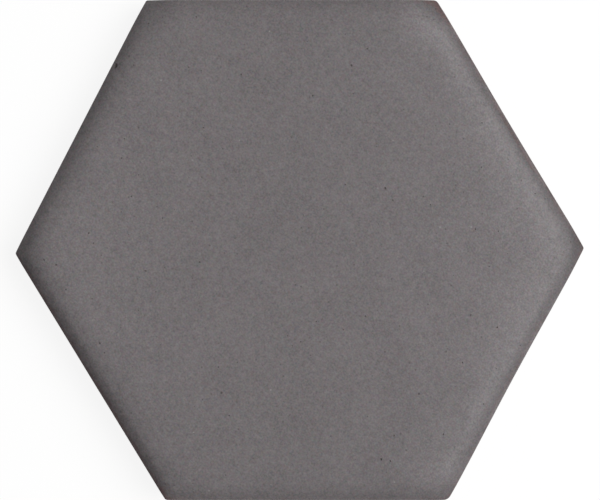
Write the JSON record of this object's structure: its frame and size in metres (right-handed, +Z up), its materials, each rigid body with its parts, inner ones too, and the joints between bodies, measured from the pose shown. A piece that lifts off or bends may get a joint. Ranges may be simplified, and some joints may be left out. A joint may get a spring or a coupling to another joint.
{
  "type": "hexagon floor tile",
  "caption": "Hexagonal floor tile of fired clay: a flat matt grey face that rolls over to its edges, sides that lean in, and a back with straight grooves for the mortar.",
  "frame": {"origin": "on the plane of the back, under the middle of the tile's widest outline", "axes": "+Z up through the face, +X along the long diagonal to the picture's right, +Y to the picture's upper side; the tile lies on its back"},
  "size_m": [0.1706, 0.15, 0.014],
  "materials": {
    "fired_clay": "matt grey coat fired onto a reddish-brown clay, fine mottled grain with pinholes, the coat thinning to brown along the edge; sides and back bare clay"
  },
  "bodies": {
    "root": {"hexagon_tile": "fired_clay"}
  },
  "joints": []
}
